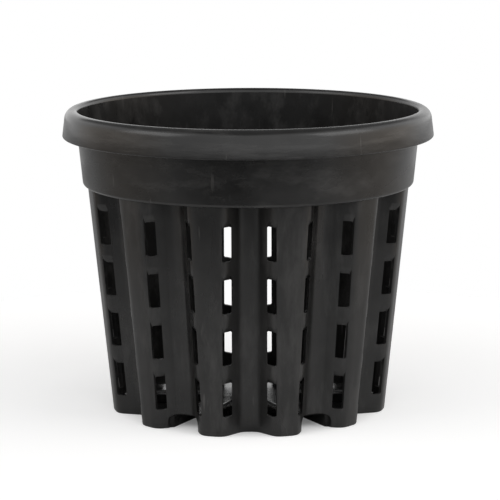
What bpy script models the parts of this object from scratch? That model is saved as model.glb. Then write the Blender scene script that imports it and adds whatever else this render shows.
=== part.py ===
"""Air pruning pot: a tapered black plant pot with a rolled rim and a fluted wall full of air slots.

Metres, +Z up. The pot stands on z = 0 with its axis on Z, and a plain groove of the wall faces -Y.
Angles about the axis are measured from -Y towards +X. The moulding is divided along its own features:
rim, collar, shoulder, a wall of lobes and grooves, and a floor of low sectors between raised channels,
which run from the arches in the wall to a hub in the middle.
"""
import math

import bmesh
import bpy
from mathutils import Matrix, Vector

# Whole pot
POT_HEIGHT = 0.2375
WALL_THICKNESS = 0.0022
WALL_DRAFT = math.radians(5.53)
JOIN_GAP = 0.0003
FOOT_COUNT = 6

# Rim
RIM_OVERHANG = 0.0084
RIM_DROP = 0.0213
RIM_FLARE = 0.0017
RIM_EDGE_ROUND = 0.0033

# Collar and shoulder
COLLAR_HEIGHT = 0.0591
COLLAR_EDGE_ROUND = 0.0028
SHOULDER_STEP = 0.0028

# Fluted wall
FOOT_RADIUS = 0.1097
GROOVE_DEPTH = 0.0165
GROOVE_FLOOR_WIDTH = 0.0112
GROOVE_MOUTH_WIDTH = 0.0396
GROOVE_FLOOR_ROUND = 0.0088
CREST_ROUND = 0.012

# Air slots
SLOT_WIDTH = 0.0067
SLOT_OFFSET = 0.01665
SLOT_HEIGHT = 0.0261
SLOT_WEB = 0.0143
SLOT_FOOT = 0.0154

# Drainage arches, channels and hub
ARCH_HEIGHT = 0.0110
ARCH_ROUND = 0.005
CHANNEL_HEIGHT = 0.0120
HUB_RADIUS = 0.030
HUB_HOLE_RADIUS = 0.012

# Facets
RING_SEGMENTS = 72
ARC_STEPS = 3
SHARP_ANGLE = math.radians(35.0)
SEARCH_STEPS = 50

# Plastic
PLASTIC_COLOR = (0.022, 0.021, 0.020, 1.0)
PLASTIC_ROUGHNESS = 0.42

# What follows from the sizes above
FLUTE_COUNT = 2 * FOOT_COUNT
FOOT_PITCH = 2.0 * math.pi / FOOT_COUNT
FLUTE_PITCH = 2.0 * math.pi / FLUTE_COUNT
HALF_PITCH = FLUTE_PITCH / 2.0
DRAFT_SLOPE = math.tan(WALL_DRAFT)
SHOULDER_Z = POT_HEIGHT - COLLAR_HEIGHT
RIM_SEAT = POT_HEIGHT - RIM_EDGE_ROUND
RIM_ROUND = RIM_OVERHANG + WALL_THICKNESS - RIM_EDGE_ROUND
SLOT_INNER = SLOT_OFFSET - SLOT_WIDTH / 2.0
SLOT_OUTER = SLOT_OFFSET + SLOT_WIDTH / 2.0
SLOT_PITCH = SLOT_HEIGHT + SLOT_WEB
SLOT_ROWS = int((SHOULDER_Z - SLOT_FOOT) / SLOT_PITCH)
CHANNEL_SIDE = SLOT_INNER - JOIN_GAP
CHANNEL_CEILING = CHANNEL_HEIGHT - WALL_THICKNESS
GROOVE_FLOOR = GROOVE_FLOOR_WIDTH / 2.0
GROOVE_MOUTH = GROOVE_MOUTH_WIDTH / 2.0
FLANK_ANGLE = math.atan2(GROOVE_DEPTH, GROOVE_MOUTH - GROOVE_FLOOR)
FLOOR_TANGENT = GROOVE_FLOOR_ROUND * math.tan(FLANK_ANGLE / 2.0)
CREST_TANGENT = CREST_ROUND * math.tan(FLANK_ANGLE / 2.0)

# Distances from a groove's centre plane at which the wall has an edge or changes its curve
FLOOR_EDGE = GROOVE_FLOOR - FLOOR_TANGENT
FLANK_FOOT = GROOVE_FLOOR + FLOOR_TANGENT * math.cos(FLANK_ANGLE)
FLOOR_BEND = (FLOOR_EDGE + FLANK_FOOT) / 2.0
FLANK_HEAD = GROOVE_MOUTH - CREST_TANGENT * math.cos(FLANK_ANGLE)
CREST_EDGE = GROOVE_MOUTH + CREST_TANGENT
WALL_STATIONS = (FLOOR_EDGE, FLOOR_BEND, FLANK_FOOT, SLOT_INNER, SLOT_OFFSET, SLOT_OUTER, CREST_EDGE)


def clear_scene():
    for item in list(bpy.data.objects):
        bpy.data.objects.remove(item, do_unlink=True)


def plastic(name):
    material = bpy.data.materials.new(name + "_plastic")
    material.use_nodes = True
    shader = material.node_tree.nodes["Principled BSDF"]
    shader.inputs["Base Color"].default_value = PLASTIC_COLOR
    shader.inputs["Roughness"].default_value = PLASTIC_ROUGHNESS
    shader.inputs["Metallic"].default_value = 0.0
    return material


def add_piece(name, builder, angle=0.0):
    """Turn a finished bmesh into a named object, rotated about the pot's axis."""
    bmesh.ops.recalc_face_normals(builder, faces=builder.faces)
    mesh = bpy.data.meshes.new(name)
    builder.to_mesh(mesh)
    builder.free()
    mesh.shade_smooth()
    mesh.set_sharp_from_angle(angle=SHARP_ANGLE)
    mesh.materials.append(plastic(name))
    piece = bpy.data.objects.new(name, mesh)
    piece.rotation_euler.z = angle
    bpy.context.scene.collection.objects.link(piece)
    return piece


def thick_sheet(faces, outer, inner):
    """Closed solid between two copies of a sheet; outer and inner hold each corner's two points."""
    builder = bmesh.new()
    corners = {corner: None for face in faces for corner in face}
    outside = {corner: builder.verts.new(outer[corner]) for corner in corners}
    inside = {corner: builder.verts.new(inner[corner]) for corner in corners}
    edges = {}
    for face in faces:
        builder.faces.new([outside[corner] for corner in face])
        builder.faces.new([inside[corner] for corner in reversed(face)])
        for start, end in zip(face, face[1:] + face[:1]):
            edges[(start, end)] = True
    for start, end in edges:
        if (end, start) not in edges:
            builder.faces.new((outside[end], outside[start], inside[start], inside[end]))
    return builder


def turned_ring(profile):
    """Closed ring turned about Z from a closed outline of (radius, height) points."""
    builder = bmesh.new()
    rings = []
    for step in range(RING_SEGMENTS):
        turn = Matrix.Rotation(2.0 * math.pi * step / RING_SEGMENTS, 3, "Z")
        rings.append([builder.verts.new(turn @ Vector((0.0, -radius, height))) for radius, height in profile])
    count = len(profile)
    for step, ring in enumerate(rings):
        following = rings[(step + 1) % RING_SEGMENTS]
        for index in range(count):
            after = (index + 1) % count
            builder.faces.new((ring[index], following[index], following[after], ring[after]))
    return builder


def arc(center, radius, start, end):
    """Points of (radius, height) on a round corner from one angle to another, both ends included."""
    angles = [start + (end - start) * step / ARC_STEPS for step in range(ARC_STEPS + 1)]
    return [(center[0] + radius * math.cos(a), center[1] + radius * math.sin(a)) for a in angles]


def crest_radius(height):
    return FOOT_RADIUS + height * DRAFT_SLOPE


def collar_radius(height):
    return crest_radius(height) + SHOULDER_STEP


def groove_depth(across):
    """Depth of a groove, and its slope, at a distance from the groove's centre plane."""
    if across <= FLOOR_EDGE:
        return GROOVE_DEPTH, 0.0
    if across < FLANK_FOOT:
        run = across - FLOOR_EDGE
        rise = math.sqrt(GROOVE_FLOOR_ROUND ** 2 - run ** 2)
        return GROOVE_DEPTH - (GROOVE_FLOOR_ROUND - rise), -run / rise
    if across <= FLANK_HEAD:
        return (GROOVE_MOUTH - across) * math.tan(FLANK_ANGLE), -math.tan(FLANK_ANGLE)
    if across < CREST_EDGE:
        run = CREST_EDGE - across
        rise = math.sqrt(CREST_ROUND ** 2 - run ** 2)
        return CREST_ROUND - rise, -run / rise
    return 0.0, 0.0


def wall_section(across, height, inset):
    """Point of the wall as (along, across) the groove's centre plane, moved in by inset along its normal."""
    reach = math.sqrt(crest_radius(height) ** 2 - across ** 2)
    depth, depth_slope = groove_depth(across)
    slope = -across / reach - depth_slope
    length = math.hypot(1.0, slope)
    return reach - depth - inset / length, across + inset * slope / length


def reach_behind(across, height, inset):
    """How far along a groove's centre plane the inset wall lies at a distance across it."""
    low, high = 0.0, CREST_EDGE
    for _ in range(SEARCH_STEPS):
        middle = (low + high) / 2.0
        along, reached = wall_section(middle, height, inset)
        if reached < across:
            low = middle
        else:
            high = middle
    return along


def skin_section(across, height, inset):
    """Point of the outer or inner skin; beside the slots, which are cut straight in, they lie in line."""
    if SLOT_INNER <= across <= SLOT_OUTER:
        return reach_behind(across, height, inset), across
    return wall_section(across, height, inset)


def groove_point(side, along, across, height):
    """Place a point of the groove on one side of a lobe whose middle faces -Y."""
    angle = side * HALF_PITCH
    radial = Vector((math.sin(angle), -math.cos(angle), 0.0))
    towards_lobe = Vector((math.cos(angle), math.sin(angle), 0.0)) * -side
    return radial * along + towards_lobe * across + Vector((0.0, 0.0, height))


def lobe_columns(stations):
    """Columns of one lobe from left to right, as (side, distance from the centre of the groove there)."""
    left = [(-1.0, across) for across in stations]
    right = [(1.0, across) for across in stations]
    return left + [(1.0, None)] + right[::-1]


def lobe_point(column, height, inset):
    side, across = column
    if across is None:
        across = crest_radius(height) * math.sin(HALF_PITCH)
    along, shifted = skin_section(across, height, inset)
    return groove_point(side, along, shifted, height)


def lobe(name, angle):
    """Outer face of one lobe, from its foot to the shoulder, between two columns of slots."""
    columns = lobe_columns((SLOT_OUTER, CREST_EDGE))
    outer = {}
    inner = {}
    for row, height in enumerate((0.0, SHOULDER_Z - JOIN_GAP)):
        for place, column in enumerate(columns):
            outer[(row, place)] = lobe_point(column, height, 0.0)
            inner[(row, place)] = lobe_point(column, height, WALL_THICKNESS)
    faces = [[(0, i), (0, i + 1), (1, i + 1), (1, i)] for i in range(len(columns) - 1)]
    return add_piece(name, thick_sheet(faces, outer, inner), angle)


def groove_heights():
    """Heights at which a groove has an edge: foot, arch, then the foot and head of each slot, and top."""
    heights = [0.0, ARCH_HEIGHT - ARCH_ROUND, ARCH_HEIGHT]
    for row in range(SLOT_ROWS):
        foot = SLOT_FOOT + row * SLOT_PITCH
        heights += [foot, foot + SLOT_HEIGHT]
    heights.append(SHOULDER_Z - JOIN_GAP)
    return heights


def groove(name, angle, arched):
    """One groove with its two flanks and the webs between slots; arched ones open at the foot."""
    tip = SLOT_OUTER - JOIN_GAP
    half = (FLOOR_EDGE, FLOOR_BEND, FLANK_FOOT, SLOT_INNER, SLOT_OFFSET, tip)
    columns = [(-1.0, across) for across in half[::-1]] + [(1.0, across) for across in half]
    heights = groove_heights()
    outer = {}
    inner = {}
    for row, height in enumerate(heights):
        for place, (side, across) in enumerate(columns):
            for skin, inset in ((outer, 0.0), (inner, WALL_THICKNESS)):
                along, shifted = skin_section(across, height, inset)
                skin[(row, place)] = Vector((side * shifted, -along, height))

    arch_top = heights.index(ARCH_HEIGHT)
    slot_rows = [arch_top + 1 + 2 * row for row in range(SLOT_ROWS)]
    jamb = half.index(SLOT_INNER)
    middle = len(half) - 1
    faces = []
    for row in range(len(heights) - 1):
        for place in range(len(columns) - 1):
            from_middle = abs(place - middle)
            corners = [(row, place), (row, place + 1), (row + 1, place + 1), (row + 1, place)]
            under_arch = arched and row < arch_top and from_middle <= jamb
            if from_middle > jamb and row in slot_rows:
                continue
            if under_arch and (row < arch_top - 1 or from_middle < jamb):
                continue
            if under_arch:
                corners.remove((row, place + 1 if place < middle else place))
            faces.append(corners)
    return add_piece(name, thick_sheet(faces, outer, inner), angle)


def rim_sizes():
    """Outer radius of the rim, and the centres of its inner and outer rounds as (radius, height)."""
    outer_radius = collar_radius(RIM_SEAT) + RIM_OVERHANG
    crown_radius = outer_radius - RIM_ROUND
    return outer_radius, (crown_radius, RIM_SEAT), (crown_radius, POT_HEIGHT - RIM_ROUND)


def rim_flange():
    """Rolled top of the rim: a small round that sits on the collar runs into a larger one outside."""
    _, edge_center, round_center = rim_sizes()
    profile = arc(edge_center, RIM_EDGE_ROUND, math.pi, math.pi / 2.0)
    profile += arc(round_center, RIM_ROUND, math.pi / 2.0, 0.0)[1:]
    profile += arc(round_center, RIM_ROUND - WALL_THICKNESS, 0.0, math.pi / 2.0)
    profile += arc(edge_center, RIM_EDGE_ROUND - WALL_THICKNESS, math.pi / 2.0, math.pi)[1:]
    return add_piece("rim_flange", turned_ring(profile))


def rim_skirt():
    """Drop skirt of the rim, which flares a little towards its lower edge."""
    top_radius, _, round_center = rim_sizes()
    bottom_radius = top_radius + RIM_FLARE
    top = round_center[1] - JOIN_GAP
    bottom = POT_HEIGHT - RIM_DROP
    profile = [(top_radius, top), (bottom_radius, bottom)]
    profile += [(bottom_radius - WALL_THICKNESS, bottom), (top_radius - WALL_THICKNESS, top)]
    return add_piece("rim_skirt", turned_ring(profile))


def collar_band():
    """Plain tapered band from the shoulder to the rim, with a rounded lower edge."""
    top = RIM_SEAT - JOIN_GAP
    seat = SHOULDER_Z + WALL_THICKNESS
    edge = SHOULDER_Z + COLLAR_EDGE_ROUND
    edge_center = (collar_radius(edge) - COLLAR_EDGE_ROUND, edge)
    profile = [(collar_radius(top), top)]
    profile += arc(edge_center, COLLAR_EDGE_ROUND, 0.0, -math.pi / 2.0)
    profile += [(edge_center[0], seat), (collar_radius(seat) - WALL_THICKNESS, seat)]
    profile += [(collar_radius(top) - WALL_THICKNESS, top)]
    return add_piece("collar_band", turned_ring(profile))


def shoulder_ledge():
    """Flat scalloped ring that rests on the fluted wall and fills the step out to the collar."""
    edge_radius = collar_radius(SHOULDER_Z + COLLAR_EDGE_ROUND) - COLLAR_EDGE_ROUND - JOIN_GAP
    rise = Vector((0.0, 0.0, WALL_THICKNESS))
    inner_edge = []
    for flute in range(FLUTE_COUNT):
        turn = Matrix.Rotation(HALF_PITCH + flute * FLUTE_PITCH, 3, "Z")
        columns = lobe_columns((0.0,) + WALL_STATIONS)[:-1]
        inner_edge += [turn @ lobe_point(column, SHOULDER_Z, WALL_THICKNESS) for column in columns]
    count = len(inner_edge)
    lower = {}
    upper = {}
    for index, point in enumerate(inner_edge):
        outward = Vector((point.x, point.y, 0.0)).normalized()
        lower[(0, index)] = point
        lower[(1, index)] = outward * edge_radius + Vector((0.0, 0.0, SHOULDER_Z))
        upper[(0, index)] = lower[(0, index)] + rise
        upper[(1, index)] = lower[(1, index)] + rise
    faces = []
    for index in range(count):
        after = (index + 1) % count
        faces.append([(0, index), (1, index), (1, after), (0, after)])
    return add_piece("shoulder_ledge", thick_sheet(faces, lower, upper))


def drawn_in(point):
    """A point of the wall's inner skin moved towards the axis, so that the floor stands clear of the wall."""
    share = 1.0 - JOIN_GAP / (math.cos(FLANK_ANGLE) * math.hypot(point.x, point.y))
    return Vector((point.x * share, point.y * share, point.z))


def floor_edge(height):
    """Outer edge of a floor sector, from the arch on its left to the arch on its right."""
    columns = lobe_columns((0.0,) + WALL_STATIONS)
    start = 1 + WALL_STATIONS.index(SLOT_INNER)
    turn = Matrix.Rotation(-HALF_PITCH, 3, "Z")
    mirror = Matrix.Scale(-1.0, 3, Vector((1.0, 0.0, 0.0)))
    left = [turn @ drawn_in(lobe_point(column, height, WALL_THICKNESS)) for column in columns[start:]]
    return left + [mirror @ point for point in left[-2::-1]]


def floor_sector(name, angle):
    """Low flat sector of the floor, between the channels behind two arches."""
    hub_reach = HUB_RADIUS + JOIN_GAP
    hub_angle = FOOT_PITCH / 2.0 - math.asin(SLOT_INNER / hub_reach)
    lower = {}
    upper = {}
    for level, height in ((lower, 0.0), (upper, WALL_THICKNESS)):
        edge = floor_edge(height)
        for index, point in enumerate(edge):
            turn = hub_angle * (2.0 * index / (len(edge) - 1) - 1.0)
            level[(0, index)] = Vector((hub_reach * math.sin(turn), -hub_reach * math.cos(turn), height))
            level[(1, index)] = point
    faces = [[(0, i), (1, i), (1, i + 1), (0, i + 1)] for i in range(len(edge) - 1)]
    return add_piece(name, thick_sheet(faces, lower, upper), angle)


def channel_end(across, height):
    """How far from the axis the floor's pieces end behind an arch."""
    return reach_behind(across, height, WALL_THICKNESS) - JOIN_GAP / math.cos(FLANK_ANGLE)


def channel_roof(name, angle):
    """Flat roof of the raised channel that leads from the hub to an arch."""
    hub_reach = HUB_RADIUS + JOIN_GAP
    half = (FLOOR_EDGE, FLOOR_BEND, FLANK_FOOT, CHANNEL_SIDE)
    stations = [-across for across in half[::-1]] + list(half)
    lower = {}
    upper = {}
    for level, height in ((lower, CHANNEL_CEILING), (upper, CHANNEL_HEIGHT)):
        for place, across in enumerate(stations):
            hub_along = math.sqrt(hub_reach ** 2 - across ** 2)
            level[(0, place)] = Vector((across, -hub_along, height))
            level[(1, place)] = Vector((across, -channel_end(abs(across), height), height))
    faces = [[(0, i), (1, i), (1, i + 1), (0, i + 1)] for i in range(len(stations) - 1)]
    return add_piece(name, thick_sheet(faces, lower, upper), angle)


def channel_rib(name, angle, side):
    """Upright side wall of a channel, from the plane that the pot stands on to the channel's roof."""
    outer = {}
    inner = {}
    for skin, across in ((outer, CHANNEL_SIDE), (inner, CHANNEL_SIDE - WALL_THICKNESS)):
        for row, height in enumerate((0.0, CHANNEL_CEILING - JOIN_GAP)):
            skin[(row, 0)] = Vector((side * across, -HUB_RADIUS, height))
            skin[(row, 1)] = Vector((side * across, -channel_end(across, height), height))
    faces = [[(0, 0), (0, 1), (1, 1), (1, 0)]]
    return add_piece(name, thick_sheet(faces, outer, inner), angle)


def floor_hub():
    """Flat raised ring in the middle of the floor, level with the channels, round its drain hole."""
    profile = [(HUB_HOLE_RADIUS, CHANNEL_HEIGHT), (HUB_RADIUS, CHANNEL_HEIGHT)]
    profile += [(HUB_RADIUS, CHANNEL_CEILING), (HUB_HOLE_RADIUS, CHANNEL_CEILING)]
    return add_piece("floor_hub", turned_ring(profile))


def air_pruning_pot():
    rim_flange()
    rim_skirt()
    collar_band()
    shoulder_ledge()
    for flute in range(FLUTE_COUNT):
        groove(f"groove_{flute + 1:02d}", flute * FLUTE_PITCH, flute % 2 == 1)
        lobe(f"lobe_{flute + 1:02d}", (flute + 0.5) * FLUTE_PITCH)
    for foot in range(FOOT_COUNT):
        arch_angle = (foot + 0.5) * FOOT_PITCH
        floor_sector(f"floor_sector_{foot + 1}", foot * FOOT_PITCH)
        channel_roof(f"channel_roof_{foot + 1}", arch_angle)
        channel_rib(f"channel_rib_{2 * foot + 1:02d}", arch_angle, -1.0)
        channel_rib(f"channel_rib_{2 * foot + 2:02d}", arch_angle, 1.0)
    floor_hub()


clear_scene()
air_pruning_pot()
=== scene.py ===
"""Looks of the air pruning pot: one satin black moulding with a rolled rim and a fluted wall full of slots.

Metres, +Z up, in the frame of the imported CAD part. The sizes repeat those of the part's source. Angles
about the axis are measured from -Y, the side that the camera sees, towards +X.
"""
import math
from collections import namedtuple

import bmesh
import bpy
from mathutils import Matrix, Vector

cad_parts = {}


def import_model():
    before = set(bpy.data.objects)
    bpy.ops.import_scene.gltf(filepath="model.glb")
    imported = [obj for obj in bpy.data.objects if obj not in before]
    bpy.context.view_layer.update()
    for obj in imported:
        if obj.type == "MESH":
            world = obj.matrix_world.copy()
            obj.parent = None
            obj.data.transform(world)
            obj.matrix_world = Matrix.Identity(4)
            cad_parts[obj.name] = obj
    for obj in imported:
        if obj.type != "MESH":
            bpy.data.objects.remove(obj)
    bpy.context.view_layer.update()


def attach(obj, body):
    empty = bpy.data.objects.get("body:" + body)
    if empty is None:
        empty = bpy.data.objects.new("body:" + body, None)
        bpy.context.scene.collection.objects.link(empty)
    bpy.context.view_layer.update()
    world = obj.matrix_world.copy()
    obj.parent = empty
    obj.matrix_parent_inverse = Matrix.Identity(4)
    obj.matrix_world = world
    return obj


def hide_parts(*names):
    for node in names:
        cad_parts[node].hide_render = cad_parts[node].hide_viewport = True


# Whole pot
POT_HEIGHT = 0.2375
WALL_THICKNESS = 0.0022
WALL_DRAFT = math.radians(5.53)
FOOT_COUNT = 6

# Rim
RIM_OVERHANG = 0.0084
RIM_DROP = 0.0213
RIM_FLARE = 0.0017
RIM_EDGE_ROUND = 0.0033
SKIRT_EDGE_ROUND = 0.0009

# Collar and shoulder
COLLAR_HEIGHT = 0.0591
COLLAR_EDGE_ROUND = 0.0028
SHOULDER_STEP = 0.0028
LEDGE_EDGE_ROUND = 0.0008

# Fluted wall
FOOT_RADIUS = 0.1097
GROOVE_DEPTH = 0.0165
GROOVE_FLOOR_WIDTH = 0.0112
GROOVE_MOUTH_WIDTH = 0.0396
GROOVE_FLOOR_ROUND = 0.0088
CREST_ROUND = 0.012
TOE_ROUND = 0.0012

# Air slots
SLOT_WIDTH = 0.0067
SLOT_OFFSET = 0.01665
SLOT_HEIGHT = 0.0261
SLOT_WEB = 0.0143
SLOT_FOOT = 0.0154
SLOT_ROWS = 4
SLOT_CORNER = 0.0008
LINTEL_DROP = 0.0035
CHEEK_REACH = 0.0014
CHEEK_DEPTH = 0.0008
CHEEK_FADE = 0.0015

# Drainage arches, channels and hub
ARCH_HEIGHT = 0.0110
ARCH_ROUND = 0.005
CHANNEL_HEIGHT = 0.0120
CHANNEL_ROUND = 0.0035
HUB_RADIUS = 0.030
HUB_HOLE_RADIUS = 0.012

# Facets
GROOVE_STEPS = 2
BEND_STEPS = 4
CREST_STEPS = 2
CREST_SHARES = (0.0, 0.35, 0.7, 1.0)
ROUND_STEPS = 6
TOE_STEPS = 3
LEDGE_STEPS = 2
COLLAR_ROWS = 4
HUB_STEPS = 72
ARCH_STEPS = 5
ARCH_ROWS = 3
SLOT_STEPS = 4
WEB_ROWS = 4
SEARCH_STEPS = 40
SHARP_ANGLE = math.radians(40.0)
LEAST_FACING = 0.2
EDGE_BEVEL = 0.00025
BEVEL_STEPS = 2
BEVEL_ANGLE = math.radians(50.0)

# Camera
CAMERA_PLACE = Vector((0.0, -1.6702, 0.4377))
CAMERA_TURN = math.radians(-0.3)
CAMERA_PITCH = 0.1859
CAMERA_ROLL = 0.0033
CAMERA_LENS = 154.31
CAMERA_SENSOR = 36.0
CAMERA_SHIFT = 0.0031

# Studio floor, whose glow is seen but lights nothing; under the pot its glow is dimmed, a painted shade
STAGE_RADIUS = 0.46
STAGE_FACETS = 96
STAGE_COLOR = (0.76, 0.76, 0.76, 1.0)
STAGE_ROUGHNESS = 0.9
STAGE_GLOW = 0.40
# Glow under the pot's foot, dimmer than elsewhere: painted shade
PAINTED_SHADE_GLOW = 0.12
PAINTED_SHADE_FADE = 0.03

# Studio room; its limits are measured on directions of length 1
ROOM_LEAN = (0.0, 0.6, 1.0)
SIDE_LEAN = -0.9
ROOM_BRIGHT = 1.05
ROOM_BRIGHT_LIMIT = 0.25
ROOM_DIM = 0.22
ROOM_DIM_LIMIT = 0.60
LEFT_SHARE = 0.9
RIGHT_SHARE = 1.3
GROUND_LOW = -0.10
GROUND_HIGH = 0.05
FRONT_GROUND = 0.08
FRONT_LIMIT = -0.90
SIDE_GROUND = 0.42
SIDE_LIMIT = -0.50
WARM_LIMIT = 0.75
SIDE_COLOR = (1.0, 0.90, 0.80, 1.0)
WHITE = (1.0, 1.0, 1.0, 1.0)

# Backdrop that the plastic mirrors
BACKDROP_LIMIT = 0.4
BACKDROP_FADE = 0.06
BACKDROP_FOOT = -0.08
BACKDROP_GROUND = 0.4
BACKDROP_TOP = 0.36
BACKDROP_MIRRORED = 1.0

# Softboxes
SOFTBOX_ASIDE = 1.14
SOFTBOX_FRONT = -0.53
SOFTBOX_HEIGHT = 1.08
SOFTBOX_SIZE = (0.9, 0.7)
SOFTBOX_AIM = (0.0, 0.0, 0.20)
LEFT_POWER = 2.8
RIGHT_POWER = 3.5

# A noise pattern: features per metre, octaves, how crisp they are, and which of its values count from 0 to 1
Pattern = namedtuple("Pattern", "scale detail crispness low high")
# Relief in a surface: features per metre, octaves and depth in metres
Relief = namedtuple("Relief", "scale detail depth")
# A finish: roughness, strength of its flow marks, how its marks are drawn out, and specular level
Finish = namedtuple("Finish", "roughness streak stretch shine")

# Plastic
BLACK = (0.0075, 0.0074, 0.0073, 1.0)
MOTTLED_BLACK = (0.0125, 0.0123, 0.0121, 1.0)
MOTTLE = Pattern(60.0, 8.0, 0.5, 0.35, 0.65)
DUST = (0.034, 0.0333, 0.0326, 1.0)
DUST_CLOUDS = Pattern(48.0, 10.0, 0.72, 0.50, 0.70)
SCRATCH = (0.045, 0.0436, 0.0422, 1.0)
SCRATCH_LINES = Pattern(260.0, 2.0, 0.5, 0.70, 0.76)
SCRATCH_STRETCH = (1.0, 0.7, 0.035)
SMUDGE = 0.11
SMUDGE_MARKS = Pattern(30.0, 8.0, 0.5, 0.35, 0.68)
FLOW_MARKS = Relief(90.0, 3.0, 0.0006)
GRAIN = Relief(1400.0, 2.0, 0.0002)
GRAIN_STRENGTH = 0.12
EVEN = (1.0, 1.0, 1.0)
WALL_FINISH = Finish(0.35, 0.25, (1.0, 1.0, 0.25), 0.5)
COLLAR_FINISH = Finish(0.26, 0.15, (0.5, 0.5, 1.2), 0.5)
RIM_FINISH = Finish(0.22, 0.20, (0.3, 0.3, 2.0), 0.5)
# Duller copy of the plastic for faces inside the pot and under things: its lower shine is a painted shade
SHADED_FINISH = Finish(0.35, 0.20, (1.0, 1.0, 0.5), 0.13)
BASE_FINISH = Finish(0.16, 0.10, EVEN, 1.0)

# What follows from the sizes above
FLUTE_COUNT = 2 * FOOT_COUNT
FOOT_PITCH = 2.0 * math.pi / FOOT_COUNT
FLUTE_PITCH = 2.0 * math.pi / FLUTE_COUNT
HALF_PITCH = FLUTE_PITCH / 2.0
DRAFT_SLOPE = math.tan(WALL_DRAFT)
SHOULDER_Z = POT_HEIGHT - COLLAR_HEIGHT
SLOT_INNER = SLOT_OFFSET - SLOT_WIDTH / 2.0
SLOT_OUTER = SLOT_OFFSET + SLOT_WIDTH / 2.0
SLOT_PITCH = SLOT_HEIGHT + SLOT_WEB
GROOVE_FLOOR = GROOVE_FLOOR_WIDTH / 2.0
GROOVE_MOUTH = GROOVE_MOUTH_WIDTH / 2.0
FLANK_ANGLE = math.atan2(GROOVE_DEPTH, GROOVE_MOUTH - GROOVE_FLOOR)
FLOOR_TANGENT = GROOVE_FLOOR_ROUND * math.tan(FLANK_ANGLE / 2.0)
CREST_TANGENT = CREST_ROUND * math.tan(FLANK_ANGLE / 2.0)
FLOOR_EDGE = GROOVE_FLOOR - FLOOR_TANGENT
FLANK_FOOT = GROOVE_FLOOR + FLOOR_TANGENT * math.cos(FLANK_ANGLE)
FLANK_HEAD = GROOVE_MOUTH - CREST_TANGENT * math.cos(FLANK_ANGLE)
CREST_EDGE = GROOVE_MOUTH + CREST_TANGENT
CHEEK_EDGE = SLOT_OUTER + CHEEK_REACH
ARCH_SPRING = ARCH_HEIGHT - ARCH_ROUND
ARCH_CROWN = SLOT_INNER - ARCH_ROUND
RIM_SEAT = POT_HEIGHT - RIM_EDGE_ROUND
RIM_ROUND = RIM_OVERHANG + WALL_THICKNESS - RIM_EDGE_ROUND

# A column of the wall: its groove's angle, which side of the groove, its station, which is the distance
# from the groove's middle, the station whose normal meets the inner skin straight behind it, its share of
# the way from there to the lobe's middle, and whether the groove ends in a drainage arch
Column = namedtuple("Column", "angle side station behind share arched")
# A point of a column: the height and inset of the outer skin, and the height of the inner one
Level = namedtuple("Level", "outer inset inner")


def spread(start, end, steps):
    """Values from start to end in even steps, without the last one."""
    return [start + (end - start) * step / steps for step in range(steps)]


def arc(center, radius, start, end):
    """Points of (radius, height) on a round corner from one angle to another, both ends included."""
    angles = spread(start, end, ROUND_STEPS) + [end]
    return [(center[0] + radius * math.cos(a), center[1] + radius * math.sin(a)) for a in angles]


def smooth(value):
    """Ease a share from 0 to 1."""
    value = min(max(value, 0.0), 1.0)
    return value * value * (3.0 - 2.0 * value)


def crest_radius(height):
    return FOOT_RADIUS + height * DRAFT_SLOPE


def collar_radius(height):
    return crest_radius(height) + SHOULDER_STEP


def groove_depth(across):
    """Depth of a groove, and its slope, at a distance from the groove's centre plane."""
    if across <= FLOOR_EDGE:
        return GROOVE_DEPTH, 0.0
    if across < FLANK_FOOT:
        run = across - FLOOR_EDGE
        rise = math.sqrt(GROOVE_FLOOR_ROUND ** 2 - run ** 2)
        return GROOVE_DEPTH - (GROOVE_FLOOR_ROUND - rise), -run / rise
    if across <= FLANK_HEAD:
        return (GROOVE_MOUTH - across) * math.tan(FLANK_ANGLE), -math.tan(FLANK_ANGLE)
    if across < CREST_EDGE:
        run = CREST_EDGE - across
        rise = math.sqrt(CREST_ROUND ** 2 - run ** 2)
        return CREST_ROUND - rise, -run / rise
    return 0.0, 0.0


def wall_section(across, radius, inset):
    """Point of the wall as (along, across) the groove's centre plane, moved in by inset along its normal."""
    reach = math.sqrt(radius ** 2 - across ** 2)
    depth, depth_slope = groove_depth(across)
    slope = -across / reach - depth_slope
    length = math.hypot(1.0, slope)
    return reach - depth - inset / length, across + inset * slope / length


def station_behind(station):
    """Station whose normal meets the inner skin straight behind another station of the outer skin."""
    low, high = station - WALL_THICKNESS, station + WALL_THICKNESS
    for _ in range(SEARCH_STEPS):
        middle = (low + high) / 2.0
        _, across = wall_section(middle, crest_radius(SHOULDER_Z / 2.0), WALL_THICKNESS)
        if across < station:
            low = middle
        else:
            high = middle
    return middle


def wall_point(column, station, height, inset):
    """Point of a column at a station of its groove, moved in from the outer skin."""
    radius = crest_radius(height)
    middle = radius * math.sin(HALF_PITCH)
    along, across = wall_section(station + column.share * (middle - station), radius, inset)
    radial = Vector((math.sin(column.angle), -math.cos(column.angle), 0.0))
    tangent = Vector((math.cos(column.angle), math.sin(column.angle), 0.0))
    return radial * along + tangent * column.side * across + Vector((0.0, 0.0, height))


def inner_point(column, height):
    """Point of the inner skin, which lies straight behind the outer one, as the slots are cut."""
    return wall_point(column, column.behind, height, WALL_THICKNESS)


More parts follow.
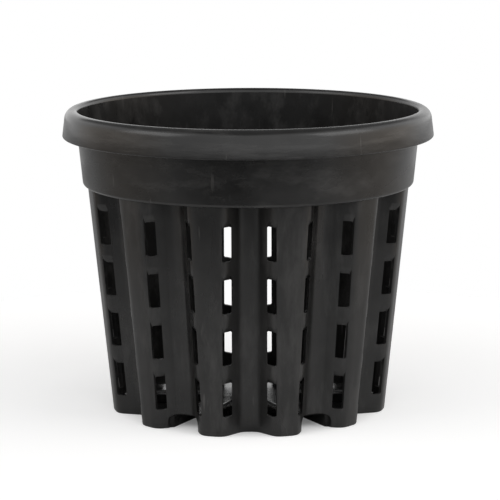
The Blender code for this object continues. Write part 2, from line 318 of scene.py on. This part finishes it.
def wall_columns():
    """All columns of the wall, once round the pot from the middle of the front groove."""
    stations = spread(0.0, FLOOR_EDGE, GROOVE_STEPS)
    stations += spread(FLOOR_EDGE, FLANK_FOOT, BEND_STEPS) + [FLANK_FOOT]
    for step in range(ARCH_STEPS):
        stations.append(ARCH_CROWN + ARCH_ROUND * math.sin(math.pi / 2.0 * step / ARCH_STEPS))
    stations += [SLOT_INNER] + spread(SLOT_INNER + SLOT_CORNER, SLOT_OUTER - SLOT_CORNER, SLOT_STEPS)
    stations += [SLOT_OUTER - SLOT_CORNER]
    stations += [CHEEK_EDGE - CHEEK_REACH * math.cos(a) for a in spread(0.0, math.pi / 2.0, ROUND_STEPS)]
    stations += spread(CHEEK_EDGE, CREST_EDGE, CREST_STEPS)
    half = [(station, station_behind(station), 0.0) for station in stations]
    half += [(CREST_EDGE, CREST_EDGE, share) for share in CREST_SHARES]
    columns = []
    for flute in range(FLUTE_COUNT):
        right = flute * FLUTE_PITCH
        left = right + FLUTE_PITCH
        arched = flute % 2 == 1
        columns += [Column(right, 1.0, *place, arched) for place in half]
        columns += [Column(left, -1.0, *place, not arched) for place in half[-2:0:-1]]
    return columns


def arch_line(column):
    """Height of the row of points that follows the arches and runs level between them."""
    if not column.arched or column.share > 0.0 or column.station >= SLOT_INNER:
        return ARCH_SPRING
    run = max(column.station - ARCH_CROWN, 0.0)
    return ARCH_SPRING + math.sqrt(ARCH_ROUND ** 2 - run ** 2)


def slot_rows():
    """Heights of a slot's rows above its foot: of its outer mouth, then of its inner one."""
    outer_head = SLOT_HEIGHT + LINTEL_DROP
    outer = [0.0] + spread(SLOT_CORNER, outer_head - SLOT_CORNER, SLOT_STEPS) + [outer_head - SLOT_CORNER]
    inner = [0.0] + spread(SLOT_CORNER, SLOT_HEIGHT - SLOT_CORNER, SLOT_STEPS) + [SLOT_HEIGHT - SLOT_CORNER]
    return list(zip(outer + [outer_head], inner + [SLOT_HEIGHT]))


def cheek_inset(column, height):
    """How far the outer skin rolls in beside a slot, on the side of the slot next to the crest."""
    if column.share > 0.0 or not SLOT_OUTER <= column.station < CHEEK_EDGE:
        return 0.0
    run = (CHEEK_EDGE - column.station) / CHEEK_REACH
    depth = CHEEK_DEPTH * (1.0 - math.sqrt(max(1.0 - run ** 2, 0.0)))
    share = 0.0
    for row in range(SLOT_ROWS):
        foot = SLOT_FOOT + row * SLOT_PITCH
        head = foot + SLOT_HEIGHT + LINTEL_DROP
        inside = min(height - foot, head - height)
        share = max(share, smooth((inside + CHEEK_FADE) / (2.0 * CHEEK_FADE)))
    return depth * share


def wall_levels(column):
    """Levels of one column from its foot to the shoulder."""
    levels = []
    for angle in spread(math.pi / 2.0, 0.0, TOE_STEPS):
        height = TOE_ROUND * (1.0 - math.sin(angle))
        levels.append(Level(height, TOE_ROUND * (1.0 - math.cos(angle)), height))
    arch = arch_line(column)
    heights = [(height, height) for height in [TOE_ROUND] + spread(arch, SLOT_FOOT, ARCH_ROWS)]
    for row in range(SLOT_ROWS):
        foot = SLOT_FOOT + row * SLOT_PITCH
        heights += [(foot + outer, foot + inner) for outer, inner in slot_rows()]
        ceiling = foot + SLOT_PITCH if row < SLOT_ROWS - 1 else SHOULDER_Z
        outer_web = spread(heights[-1][0], ceiling, WEB_ROWS)[1:]
        inner_web = spread(heights[-1][1], ceiling, WEB_ROWS)[1:]
        heights += list(zip(outer_web, inner_web))
    heights.append((SHOULDER_Z, SHOULDER_Z))
    for outer, inner in heights:
        levels.append(Level(outer, cheek_inset(column, outer), inner))
    return levels


def looks_out(face):
    """Whether a face of the wall or collar looks away from the pot's axis."""
    outward = Vector((face.center.x, face.center.y, 0.0)).normalized()
    return face.normal.dot(outward) > LEAST_FACING


def looks_up(face):
    """Whether a face of the floor looks up into the pot."""
    return face.normal.z > LEAST_FACING


def dull_faces(piece, material, is_unshaded):
    """Give the faces of a piece that the test doesn't pick a duller copy of the plastic, a painted shade."""
    piece.data.materials.append(material)
    for face in piece.data.polygons:
        if not is_unshaded(face):
            face.material_index = 1


def add_piece(name, builder, material, nodes):
    """Turn a finished bmesh into a piece that rides on the pot and stands for CAD nodes."""
    bmesh.ops.recalc_face_normals(builder, faces=builder.faces)
    mesh = bpy.data.meshes.new(name)
    builder.to_mesh(mesh)
    builder.free()
    mesh.shade_smooth()
    mesh.set_sharp_from_angle(angle=SHARP_ANGLE)
    mesh.materials.append(material)
    piece = bpy.data.objects.new(name, mesh)
    bpy.context.scene.collection.objects.link(piece)
    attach(piece, "root")
    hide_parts(*nodes)
    return piece


def thick_sheet(faces, outer, inner):
    """Closed skin between two copies of a sheet; outer and inner hold each corner's two points."""
    builder = bmesh.new()
    corners = {corner: None for face in faces for corner in face}
    outside = {corner: builder.verts.new(outer[corner]) for corner in corners}
    inside = {corner: builder.verts.new(inner[corner]) for corner in corners}
    edges = {}
    for face in faces:
        builder.faces.new([outside[corner] for corner in face])
        builder.faces.new([inside[corner] for corner in reversed(face)])
        for start, end in zip(face, face[1:] + face[:1]):
            edges[(start, end)] = True
    for start, end in edges:
        if (end, start) not in edges:
            builder.faces.new((outside[end], outside[start], inside[start], inside[end]))
    return builder


def strip_faces(strip, count):
    """Cells between a strip's two rows of count points each, as lists of (strip, row, place)."""
    faces = []
    for place in range(count - 1):
        near = [(strip, 0, place), (strip, 0, place + 1)]
        far = [(strip, 1, place + 1), (strip, 1, place)]
        faces.append(near + far)
    return faces


def soften_edges(piece):
    """Round the cut edges of a piece a little."""
    bevel = piece.modifiers.new("edge_bevel", "BEVEL")
    bevel.width = EDGE_BEVEL
    bevel.segments = BEVEL_STEPS
    bevel.limit_method = "ANGLE"
    bevel.angle_limit = BEVEL_ANGLE


def closed_loft(rows):
    """Closed ring through rows of points; each row goes once round, and the last meets the first."""
    builder = bmesh.new()
    rings = [[builder.verts.new(point) for point in row] for row in rows]
    count = len(rings[0])
    for row, ring in enumerate(rings):
        following = rings[(row + 1) % len(rings)]
        for place in range(count):
            after = (place + 1) % count
            builder.faces.new((ring[place], ring[after], following[after], following[place]))
    return builder


def ring_row(radius, height, angles):
    return [Vector((radius * math.sin(a), -radius * math.cos(a), height)) for a in angles]


def point_angle(point):
    return math.atan2(point.x, -point.y)


def moved_out(points, distance, height):
    """Points moved away from the axis by a distance and set at one height."""
    row = []
    for point in points:
        reach = math.hypot(point.x, point.y)
        share = (reach + distance) / reach
        row.append(Vector((point.x * share, point.y * share, height)))
    return row


def wall_faces(columns):
    """Cells of the wall's sheet as lists of (row, column), left out where slots and arches are open."""
    toe_rows = TOE_STEPS + 1
    slot_height = len(slot_rows()) - 1
    slot_start = toe_rows + ARCH_ROWS
    row_pitch = slot_height + WEB_ROWS
    row_count = len(wall_levels(columns[0]))
    faces = []
    for place, column in enumerate(columns):
        after = (place + 1) % len(columns)
        pair = (column, columns[after])
        plain = all(item.share == 0.0 for item in pair)
        near = min(item.station for item in pair)
        far = max(item.station for item in pair)
        slotted = plain and near >= SLOT_INNER and far <= SLOT_OUTER
        under_arch = plain and column.arched and far <= SLOT_INNER
        first = toe_rows if under_arch else 0
        for row in range(first, row_count - 1):
            corners = [(row, place), (row, after), (row + 1, after), (row + 1, place)]
            step = (row - slot_start) % row_pitch
            open_row = row >= slot_start and step < slot_height
            if not (slotted and open_row):
                faces.append(corners)
                continue
            at_jamb = near == SLOT_INNER or far == SLOT_OUTER
            if at_jamb and step in (0, slot_height - 1):
                faces.append(slot_corner(corners, columns, near == SLOT_INNER, step == 0))
    return faces


def slot_corner(corners, columns, groove_side, at_foot):
    """The three corners of a cell that stay filled where a slot's corner is rounded."""
    edge = SLOT_INNER if groove_side else SLOT_OUTER
    rows = [row for row, _ in corners]
    level = min(rows) if at_foot else max(rows)
    opposite = [c for c in corners if c[0] != level and columns[c[1]].station != edge]
    return [corner for corner in corners if corner not in opposite]


def fluted_wall(columns, material):
    """Lobes and grooves as one seamless skin, with slots, rolled slot cheeks, arches and rounded toes."""
    outer = {}
    inner = {}
    for place, column in enumerate(columns):
        for row, level in enumerate(wall_levels(column)):
            outer[(row, place)] = wall_point(column, column.station, level.outer, level.inset)
            inner[(row, place)] = inner_point(column, level.inner)
    builder = thick_sheet(wall_faces(columns), outer, inner)
    nodes = [f"lobe_{flute + 1:02d}" for flute in range(FLUTE_COUNT)]
    nodes += [f"groove_{flute + 1:02d}" for flute in range(FLUTE_COUNT)]
    piece = add_piece("fluted_wall", builder, material, nodes)
    soften_edges(piece)
    return piece


def collar_and_ledge(columns, material):
    """Plain band with a rounded lower edge, and the scalloped ledge that carries it on the wall."""
    outer_edge = [wall_point(column, column.station, SHOULDER_Z, 0.0) for column in columns]
    inner_edge = [inner_point(column, SHOULDER_Z) for column in columns]
    outer_angles = [point_angle(point) for point in outer_edge]
    inner_angles = [point_angle(point) for point in inner_edge]
    edge = SHOULDER_Z + COLLAR_EDGE_ROUND
    center = (collar_radius(edge) - COLLAR_EDGE_ROUND, edge)
    seat = SHOULDER_Z + WALL_THICKNESS
    corner = (collar_radius(seat) - WALL_THICKNESS - COLLAR_EDGE_ROUND, seat + COLLAR_EDGE_ROUND)

    rows = [outer_edge]
    rows += [ring_row(r, z, outer_angles) for r, z in arc(center, COLLAR_EDGE_ROUND, -math.pi / 2.0, 0.0)]
    for height in spread(edge, RIM_SEAT, COLLAR_ROWS)[1:] + [RIM_SEAT]:
        rows.append(ring_row(collar_radius(height), height, outer_angles))
    for height in spread(RIM_SEAT, corner[1], COLLAR_ROWS):
        rows.append(ring_row(collar_radius(height) - WALL_THICKNESS, height, inner_angles))
    rows += [ring_row(r, z, inner_angles) for r, z in arc(corner, COLLAR_EDGE_ROUND, 0.0, -math.pi / 2.0)]
    for angle in spread(0.0, math.pi / 2.0, LEDGE_STEPS) + [math.pi / 2.0]:
        back = LEDGE_EDGE_ROUND * (1.0 - math.sin(angle))
        rows.append(moved_out(inner_edge, back, seat - LEDGE_EDGE_ROUND * (1.0 - math.cos(angle))))
    rows.append(inner_edge)
    nodes = ("collar_band", "shoulder_ledge")
    return add_piece("collar_and_ledge", closed_loft(rows), material, nodes)


def rolled_rim(columns, material):
    """Rolled rim that sits on the collar, and its drop skirt, whose lower edge is rounded."""
    outer_radius = collar_radius(RIM_SEAT) + RIM_OVERHANG
    crown_radius = outer_radius - RIM_ROUND
    skirt_radius = outer_radius + RIM_FLARE
    bottom = POT_HEIGHT - RIM_DROP
    flare = math.atan2(RIM_FLARE, RIM_DROP - RIM_ROUND)
    inner_center = (crown_radius, RIM_SEAT)
    round_center = (crown_radius, POT_HEIGHT - RIM_ROUND)
    lip = bottom + SKIRT_EDGE_ROUND
    outer_lip = (skirt_radius - SKIRT_EDGE_ROUND, lip)
    inner_lip = (skirt_radius - WALL_THICKNESS + SKIRT_EDGE_ROUND, lip)
    profile = arc(inner_center, RIM_EDGE_ROUND, math.pi, math.pi / 2.0)
    profile += arc(round_center, RIM_ROUND, math.pi / 2.0, flare)[1:]
    profile += arc(outer_lip, SKIRT_EDGE_ROUND, flare, -math.pi / 2.0)
    profile += arc(inner_lip, SKIRT_EDGE_ROUND, -math.pi / 2.0, -math.pi + flare)
    profile += arc(round_center, RIM_ROUND - WALL_THICKNESS, flare, math.pi / 2.0)
    profile += arc(inner_center, RIM_EDGE_ROUND - WALL_THICKNESS, math.pi / 2.0, math.pi)[1:]
    angles = spread(0.0, 2.0 * math.pi, len(columns) // 2)
    rows = [ring_row(radius, height, angles) for radius, height in profile]
    return add_piece("rolled_rim", closed_loft(rows), material, ("rim_flange", "rim_skirt"))


def sector_edge(columns, middle, height):
    """Outer edge of a sector of the floor, from arch to arch; middle is the angle of the sector's middle."""
    edge = []
    for column in columns:
        over_arch = column.arched and column.share == 0.0 and column.station < SLOT_INNER
        point = inner_point(column, height)
        turn = (point_angle(point) - middle + math.pi) % (2.0 * math.pi) - math.pi
        if abs(turn) < FOOT_PITCH / 2.0 and not over_arch:
            edge.append((turn, point))
    return [point for _, point in sorted(edge, key=lambda item: item[0])]


def floor_sectors(columns, material):
    """Low flat sectors of the floor, each between two channels and drawn out to the wall."""
    neck = FOOT_PITCH / 2.0 - math.asin(SLOT_INNER / HUB_RADIUS)
    upper = {}
    lower = {}
    faces = []
    for foot in range(FOOT_COUNT):
        middle = foot * FOOT_PITCH
        for skin, height in ((lower, 0.0), (upper, WALL_THICKNESS)):
            edge = sector_edge(columns, middle, height)
            angles = spread(middle - neck, middle + neck, len(edge) - 1) + [middle + neck]
            for place, point in enumerate(ring_row(HUB_RADIUS, height, angles)):
                skin[(foot, 0, place)] = point
                skin[(foot, 1, place)] = edge[place]
        faces += strip_faces(foot, len(edge))
    nodes = [f"floor_sector_{foot + 1}" for foot in range(FOOT_COUNT)]
    return add_piece("floor_sectors", thick_sheet(faces, upper, lower), material, nodes)


def channel_section(inset):
    """Half of a channel's cross-section as (across, height), from its foot to the middle of its roof."""
    center = (SLOT_INNER - CHANNEL_ROUND, CHANNEL_HEIGHT - CHANNEL_ROUND)
    section = [(SLOT_INNER - inset, 0.0)]
    section += arc(center, CHANNEL_ROUND - inset, 0.0, math.pi / 2.0)
    return section + [(FLANK_FOOT, CHANNEL_HEIGHT - inset), (0.0, CHANNEL_HEIGHT - inset)]


def channel_skin(angle, inset):
    """Rows of points across a channel's skin, at the hub and at the wall behind its arch."""
    half = channel_section(inset)
    section = [(-across, height) for across, height in half] + half[-2::-1]
    radial = Vector((math.sin(angle), -math.cos(angle), 0.0))
    tangent = Vector((math.cos(angle), math.sin(angle), 0.0))
    rows = ([], [])
    for across, height in section:
        station = station_behind(abs(across))
        wall_reach, _ = wall_section(station, crest_radius(height), WALL_THICKNESS)
        hub_reach = math.sqrt(HUB_RADIUS ** 2 - across ** 2)
        place = tangent * across + Vector((0.0, 0.0, height))
        rows[0].append(place + radial * hub_reach)
        rows[1].append(place + radial * wall_reach)
    return rows


def drain_channels(material):
    """Raised channels with rounded edges, which lead from the hub to the arches."""
    outer = {}
    inner = {}
    faces = []
    for channel in range(FOOT_COUNT):
        angle = (channel + 0.5) * FOOT_PITCH
        for skin, inset in ((outer, 0.0), (inner, WALL_THICKNESS)):
            rows = channel_skin(angle, inset)
            for row, points in enumerate(rows):
                for place, point in enumerate(points):
                    skin[(channel, row, place)] = point
        faces += strip_faces(channel, len(rows[0]))
    nodes = [f"channel_roof_{channel + 1}" for channel in range(FOOT_COUNT)]
    nodes += [f"channel_rib_{rib + 1:02d}" for rib in range(2 * FOOT_COUNT)]
    return add_piece("drain_channels", thick_sheet(faces, outer, inner), material, nodes)


def hub_ring(material):
    """Flat raised ring in the middle of the floor, round its drain hole."""
    ceiling = CHANNEL_HEIGHT - WALL_THICKNESS
    profile = [(HUB_HOLE_RADIUS, CHANNEL_HEIGHT), (HUB_RADIUS, CHANNEL_HEIGHT)]
    profile += [(HUB_RADIUS, ceiling), (HUB_HOLE_RADIUS, ceiling)]
    angles = spread(0.0, 2.0 * math.pi, HUB_STEPS)
    rows = [ring_row(radius, height, angles) for radius, height in profile]
    piece = add_piece("hub_ring", closed_loft(rows), material, ["floor_hub"])
    soften_edges(piece)
    return piece


def link(tree, source, output, target, name):
    tree.links.new(source.outputs[output], target.inputs[name])


def noise(tree, coordinates, kind, stretch):
    """Noise texture in object space; a stretch below 1 draws its features out along that axis."""
    mapping = tree.nodes.new("ShaderNodeMapping")
    mapping.inputs["Scale"].default_value = stretch
    link(tree, coordinates, "Object", mapping, "Vector")
    texture = tree.nodes.new("ShaderNodeTexNoise")
    texture.inputs["Scale"].default_value = kind.scale
    texture.inputs["Detail"].default_value = kind.detail
    link(tree, mapping, "Vector", texture, "Vector")
    return texture


def remap(tree, source, output, low, high, start, end):
    """Map a range of a value to another, held at both ends."""
    node = tree.nodes.new("ShaderNodeMapRange")
    node.inputs["From Min"].default_value = low
    node.inputs["From Max"].default_value = high
    node.inputs["To Min"].default_value = start
    node.inputs["To Max"].default_value = end
    link(tree, source, output, node, "Value")
    return node


def marks(tree, coordinates, pattern, stretch, start=0.0, end=1.0):
    """Noise pattern that runs from one value to another."""
    texture = noise(tree, coordinates, pattern, stretch)
    texture.inputs["Roughness"].default_value = pattern.crispness
    return remap(tree, texture, "Fac", pattern.low, pattern.high, start, end)


def mix_color(tree, factor, output, first, second):
    """Mix of two colours by a factor of 0 to 1."""
    node = tree.nodes.new("ShaderNodeMix")
    node.data_type = "RGBA"
    node.inputs["A"].default_value = first
    node.inputs["B"].default_value = second
    link(tree, factor, output, node, "Factor")
    return node


def layer(tree, below, share, color):
    """Colour laid over another one by a share of 0 to 1."""
    node = mix_color(tree, share, "Result", BLACK, color)
    link(tree, below, "Result", node, "A")
    return node


def bump(tree, coordinates, relief, stretch, strength):
    """Bump from noise."""
    texture = noise(tree, coordinates, relief, stretch)
    node = tree.nodes.new("ShaderNodeBump")
    node.inputs["Strength"].default_value = strength
    node.inputs["Distance"].default_value = relief.depth
    link(tree, texture, "Fac", node, "Height")
    return node


def worn_color(tree, coordinates, stretch):
    """Black that is mottled and clouded by dust, with thin pale scratches."""
    mottle = marks(tree, coordinates, MOTTLE, EVEN)
    plain = mix_color(tree, mottle, "Result", BLACK, MOTTLED_BLACK)
    dusty = layer(tree, plain, marks(tree, coordinates, DUST_CLOUDS, stretch), DUST)
    return layer(tree, dusty, marks(tree, coordinates, SCRATCH_LINES, SCRATCH_STRETCH), SCRATCH)


def black_plastic(name, finish):
    """Satin black polypropylene: worn colour, smudged gloss, fine grain and flow marks."""
    material = bpy.data.materials.new(name)
    material.use_nodes = True
    tree = material.node_tree
    shader = tree.nodes["Principled BSDF"]
    coordinates = tree.nodes.new("ShaderNodeTexCoord")
    color = worn_color(tree, coordinates, finish.stretch)
    link(tree, color, "Result", shader, "Base Color")

    smooth_end = finish.roughness - SMUDGE
    rough_end = finish.roughness + SMUDGE
    gloss = marks(tree, coordinates, SMUDGE_MARKS, finish.stretch, smooth_end, rough_end)
    link(tree, gloss, "Result", shader, "Roughness")
    shader.inputs["Specular IOR Level"].default_value = finish.shine

    flow = bump(tree, coordinates, FLOW_MARKS, finish.stretch, finish.streak)
    grain = bump(tree, coordinates, GRAIN, EVEN, GRAIN_STRENGTH)
    link(tree, flow, "Normal", grain, "Normal")
    link(tree, grain, "Normal", shader, "Normal")
    return material


def combined(tree, operation, first, first_output, second, second_output):
    """Two values worked into one."""
    node = tree.nodes.new("ShaderNodeMath")
    node.operation = operation
    link(tree, first, first_output, node, 0)
    link(tree, second, second_output, node, 1)
    return node


def brighter(tree, first, first_output, second, second_output):
    return combined(tree, "MAXIMUM", first, first_output, second, second_output)


def product(tree, first, first_output, second, second_output):
    return combined(tree, "MULTIPLY", first, first_output, second, second_output)


def studio_floor():
    """Pale round floor that shows white to the camera and keeps the pot's soft shadow; under the pot its
    glow is dimmed as a painted shade.
    """
    bpy.ops.mesh.primitive_circle_add(vertices=STAGE_FACETS, radius=STAGE_RADIUS, fill_type="NGON")
    floor = bpy.context.object
    floor.name = "studio_floor"
    material = bpy.data.materials.new("studio_floor_paint")
    material.use_nodes = True
    tree = material.node_tree
    shader = tree.nodes["Principled BSDF"]
    shader.inputs["Base Color"].default_value = STAGE_COLOR
    shader.inputs["Roughness"].default_value = STAGE_ROUGHNESS
    shader.inputs["Specular IOR Level"].default_value = 0.0
    shader.inputs["Emission Color"].default_value = WHITE
    path = tree.nodes.new("ShaderNodeLightPath")
    seen = brighter(tree, path, "Is Camera Ray", path, "Is Transmission Ray")
    coordinates = tree.nodes.new("ShaderNodeTexCoord")
    distance = tree.nodes.new("ShaderNodeVectorMath")
    distance.operation = "LENGTH"
    link(tree, coordinates, "Object", distance, 0)
    # Painted shade: the glow falls from STAGE_GLOW in the open to a dimmer glow under the pot
    painted_shade_glow = remap(tree, distance, "Value", FOOT_RADIUS - PAINTED_SHADE_FADE, FOOT_RADIUS, PAINTED_SHADE_GLOW, STAGE_GLOW)
    glow = product(tree, painted_shade_glow, "Result", seen, "Value")
    link(tree, glow, "Value", shader, "Emission Strength")
    floor.data.materials.append(material)


def room_light(tree, coordinates, axes, aside):
    """Strength of the room: bright in front and at the sides, dim overhead, behind and at the ground."""
    lean = tree.nodes.new("ShaderNodeVectorMath")
    lean.operation = "DOT_PRODUCT"
    lean.inputs[1].default_value = ROOM_LEAN
    link(tree, coordinates, "Generated", lean, 0)
    height = tree.nodes.new("ShaderNodeMath")
    height.operation = "MULTIPLY_ADD"
    height.inputs[1].default_value = SIDE_LEAN
    link(tree, aside, "Value", height, 0)
    link(tree, lean, "Value", height, 2)
    sky = remap(tree, height, "Value", ROOM_BRIGHT_LIMIT, ROOM_DIM_LIMIT, ROOM_BRIGHT, ROOM_DIM)
    raised = remap(tree, axes, "Z", GROUND_LOW, GROUND_HIGH, 0.0, 1.0)
    lowered = remap(tree, axes, "Y", FRONT_LIMIT, SIDE_LIMIT, FRONT_GROUND, SIDE_GROUND)
    ground = brighter(tree, raised, "Result", lowered, "Result")
    key_side = remap(tree, axes, "X", -1.0, 1.0, LEFT_SHARE, RIGHT_SHARE)
    above = product(tree, sky, "Result", key_side, "Result")
    return product(tree, above, "Value", ground, "Value")


def mirrored_backdrop(tree, axes, path):
    """Strength of the white backdrop behind the pot, which only its shine shows."""
    behind = remap(tree, axes, "Y", 0.0, BACKDROP_LIMIT, 0.0, 1.0)
    head = remap(tree, axes, "Z", BACKDROP_TOP, BACKDROP_TOP + BACKDROP_FADE, BACKDROP_MIRRORED, 0.0)
    foot = remap(tree, axes, "Z", BACKDROP_FOOT, BACKDROP_FOOT + BACKDROP_FADE, BACKDROP_GROUND, 1.0)
    band = product(tree, head, "Result", foot, "Result")
    low_behind = product(tree, behind, "Result", band, "Value")
    return product(tree, low_behind, "Value", path, "Is Glossy Ray")


def room_color(tree, aside, path):
    """White that turns warm at the far sides, except to the camera."""
    warmth = remap(tree, aside, "Value", WARM_LIMIT, 1.0, 0.0, 1.0)
    unseen = remap(tree, path, "Is Camera Ray", 0.0, 1.0, 1.0, 0.0)
    factor = product(tree, warmth, "Result", unseen, "Result")
    return mix_color(tree, factor, "Value", WHITE, SIDE_COLOR)


def studio_world():
    """Studio room with a backdrop for the pot's shine, all white to the camera."""
    world = bpy.data.worlds.new("studio")
    bpy.context.scene.world = world
    world.use_nodes = True
    tree = world.node_tree
    background = tree.nodes["Background"]
    coordinates = tree.nodes.new("ShaderNodeTexCoord")
    axes = tree.nodes.new("ShaderNodeSeparateXYZ")
    link(tree, coordinates, "Generated", axes, "Vector")
    aside = tree.nodes.new("ShaderNodeMath")
    aside.operation = "ABSOLUTE"
    link(tree, axes, "X", aside, 0)
    path = tree.nodes.new("ShaderNodeLightPath")

    room = room_light(tree, coordinates, axes, aside)
    mirrored = mirrored_backdrop(tree, axes, path)
    seen = brighter(tree, path, "Is Camera Ray", path, "Is Transmission Ray")
    white = brighter(tree, seen, "Value", mirrored, "Value")
    strength = brighter(tree, room, "Value", white, "Value")
    link(tree, strength, "Value", background, "Strength")
    color = room_color(tree, aside, path)
    link(tree, color, "Result", background, "Color")


def softbox(name, aside, power):
    """Wide lamp above and in front of the pot, aimed at its upper part."""
    light = bpy.data.lights.new(name, "AREA")
    light.shape = "RECTANGLE"
    light.size, light.size_y = SOFTBOX_SIZE
    light.energy = power
    lamp = bpy.data.objects.new(name, light)
    lamp.location = (aside, SOFTBOX_FRONT, SOFTBOX_HEIGHT)
    lamp.rotation_euler = (Vector(SOFTBOX_AIM) - lamp.location).to_track_quat("-Z", "Y").to_euler()
    bpy.context.scene.collection.objects.link(lamp)


def photo_camera():
    """Camera at the photograph's angle, with the photograph's slight roll."""
    data = bpy.data.cameras.new("photo_camera")
    data.sensor_width = CAMERA_SENSOR
    data.lens = CAMERA_LENS
    data.shift_x = CAMERA_SHIFT
    camera = bpy.data.objects.new("photo_camera", data)
    tilt = Matrix.Rotation(math.pi / 2.0 - CAMERA_PITCH, 4, "X") @ Matrix.Rotation(-CAMERA_ROLL, 4, "Z")
    camera.matrix_world = Matrix.Rotation(CAMERA_TURN, 4, "Z") @ Matrix.Translation(CAMERA_PLACE) @ tilt
    bpy.context.scene.collection.objects.link(camera)
    bpy.context.scene.camera = camera


def air_pruning_pot():
    """All pieces of the pot; faces inside it and under its ledge and channels get a duller copy of the
    plastic as painted shade, apart from the tops of the raised floor.
    """
    columns = wall_columns()
    wall = fluted_wall(columns, black_plastic("wall_plastic", WALL_FINISH))
    collar = collar_and_ledge(columns, black_plastic("collar_plastic", COLLAR_FINISH))
    shaded_plastic = black_plastic("shaded_plastic", SHADED_FINISH)
    # Painted shade: wall and collar faces that don't look out, inside the pot and under its ledge, take the
    # duller plastic
    dull_faces(wall, shaded_plastic, looks_out)
    dull_faces(collar, shaded_plastic, looks_out)
    rolled_rim(columns, black_plastic("rim_plastic", RIM_FINISH))
    base_plastic = black_plastic("base_plastic", BASE_FINISH)
    # Painted shade: the low floor sectors and the channels' faces that don't look up, in the tunnels below
    # them, take the duller plastic
    floor_sectors(columns, shaded_plastic)
    channels = drain_channels(base_plastic)
    dull_faces(channels, shaded_plastic, looks_up)
    hub_ring(base_plastic)


def main():
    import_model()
    bpy.context.scene.view_settings.view_transform = "Standard"
    air_pruning_pot()
    photo_camera()
    studio_floor()
    studio_world()
    softbox("left_softbox", -SOFTBOX_ASIDE, LEFT_POWER)
    softbox("right_softbox", SOFTBOX_ASIDE, RIGHT_POWER)


main()
